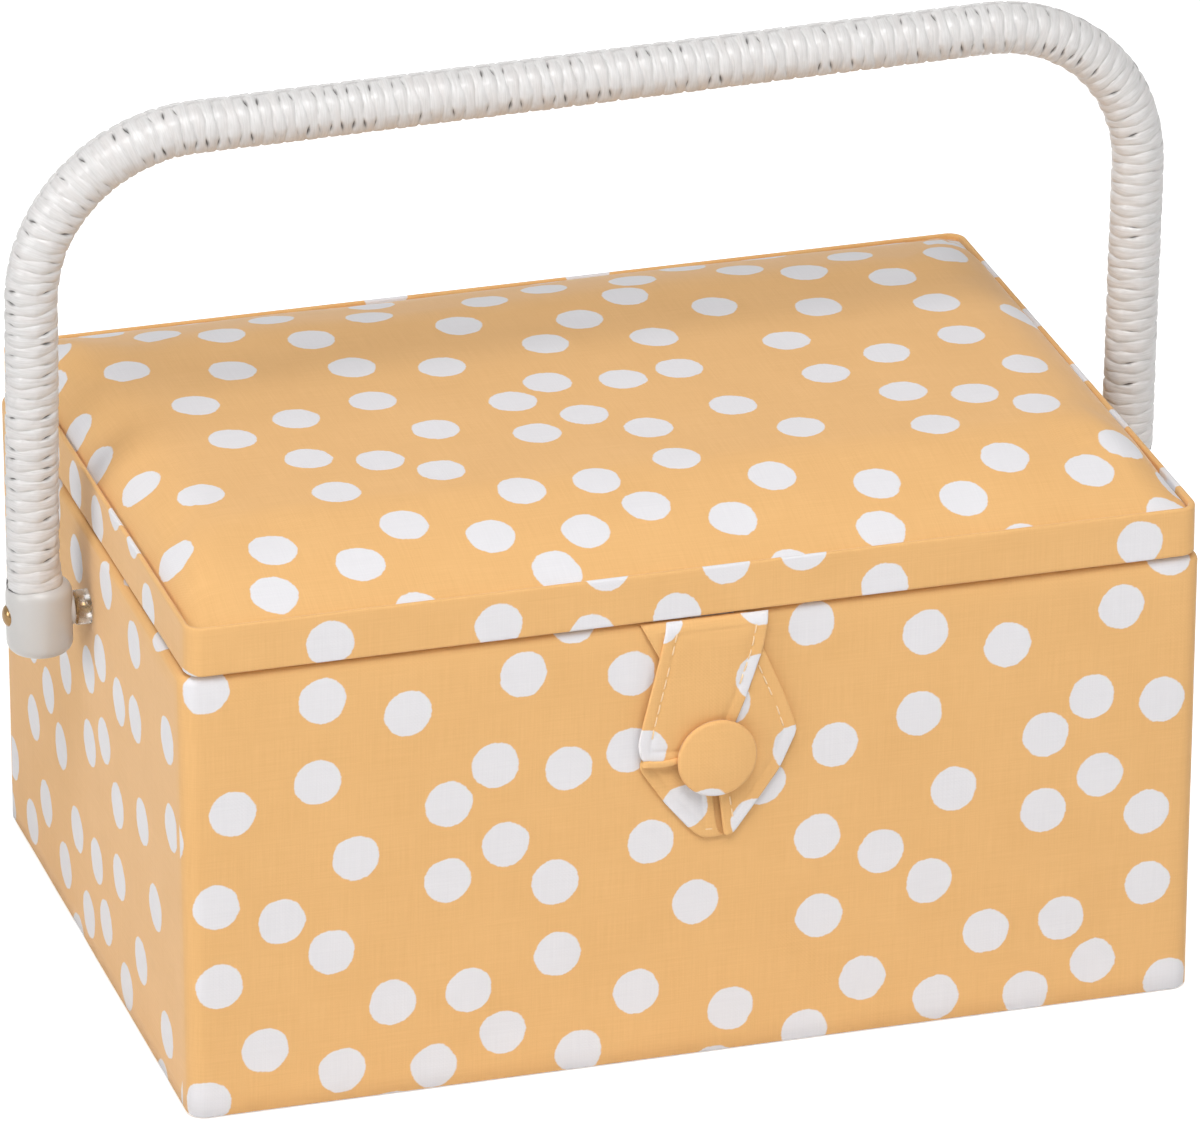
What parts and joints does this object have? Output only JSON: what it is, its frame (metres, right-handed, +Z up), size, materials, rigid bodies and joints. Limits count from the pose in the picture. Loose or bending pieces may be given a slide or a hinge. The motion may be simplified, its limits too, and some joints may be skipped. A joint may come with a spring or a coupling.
{
  "type": "sewing box",
  "caption": "Fabric-covered sewing box with a padded hinged lid, a wound bail handle that swings, a cotton loop and button closure and a lift-out divided tray inside.",
  "frame": {"origin": "centre of the underside, on the surface that the box stands on", "axes": "+X to the right along the front, +Y to the back, +Z up"},
  "size_m": [0.3076, 0.2037, 0.2381],
  "materials": {
    "printed_cotton": "matt woven cotton, apricot with white round dots",
    "bottom_cloth": "matt woven cotton, plain",
    "fibreboard": "bare fibreboard under the cloth",
    "lining_cloth": "soft plain lining with a faint sheen",
    "foam": "open foam under the cloth",
    "pincushion_cloth": "soft padded cloth",
    "tray_plastic": "smooth moulded, slightly milky",
    "ledge_wood": "plain sanded strip",
    "hinge_metal": "bright pressed sheet",
    "rivet_brass": "polished domed head",
    "cane": "glossy white flat cane wound in a plain weave",
    "handle_wood": "bent rod under the winding",
    "ferrule_plastic": "smooth milky white moulding",
    "clear_plastic": "clear moulded sleeve"
  },
  "bodies": {
    "base": {"front_board": "fibreboard", "back_board": "fibreboard", "left_board": "fibreboard", "right_board": "fibreboard", "base_board": "fibreboard", "outer_cover": "printed_cotton", "bottom_cover": "bottom_cloth", "wall_lining": "lining_cloth", "floor_pad": "lining_cloth", "tray": "tray_plastic", "tray_ledge_left": "ledge_wood", "tray_ledge_right": "ledge_wood", "hinge_base_leaves": "hinge_metal", "hinge_pins": "hinge_metal", "pivot_rivets": "rivet_brass", "spacers": "clear_plastic", "covered_button": "printed_cotton"},
    "lid": {"lid_strip_front": "fibreboard", "lid_strip_back": "fibreboard", "lid_strip_left": "fibreboard", "lid_strip_right": "fibreboard", "lid_board": "fibreboard", "lid_foam": "foam", "pad_cover": "printed_cotton", "lid_band": "printed_cotton", "lid_lining": "lining_cloth", "pincushion": "pincushion_cloth", "lid_pocket": "lining_cloth", "pocket_elastic": "lining_cloth", "hinge_lid_leaves": "hinge_metal", "loop_anchor": "bottom_cloth"},
    "handle": {"handle_core": "handle_wood", "handle_winding": "cane", "ferrules": "ferrule_plastic"},
    "loop": {"closing_loop": "printed_cotton"}
  },
  "joints": [
    {"name": "lid_hinge", "type": "hinge", "parent": "base", "child": "lid", "pos_m": [0, 0.09575, 0.12155], "axis": [-1, 0, 0], "range_deg": [0, 95]},
    {"name": "handle_swing", "type": "hinge", "parent": "base", "child": "handle", "pos_m": [0, 0, 0.1005], "axis": [-1, 0, 0], "range_deg": [0, 118.75]},
    {"name": "loop_swing", "type": "hinge", "parent": "lid", "child": "loop", "pos_m": [0, -0.09435, 0.1219], "axis": [-1, 0, 0], "range_deg": [0, 90], "deforming": ["closing_loop"]}
  ],
  "couplings": [
    {"joint": "handle_swing", "follows": "lid_hinge", "ratio": 1.25}
  ]
}
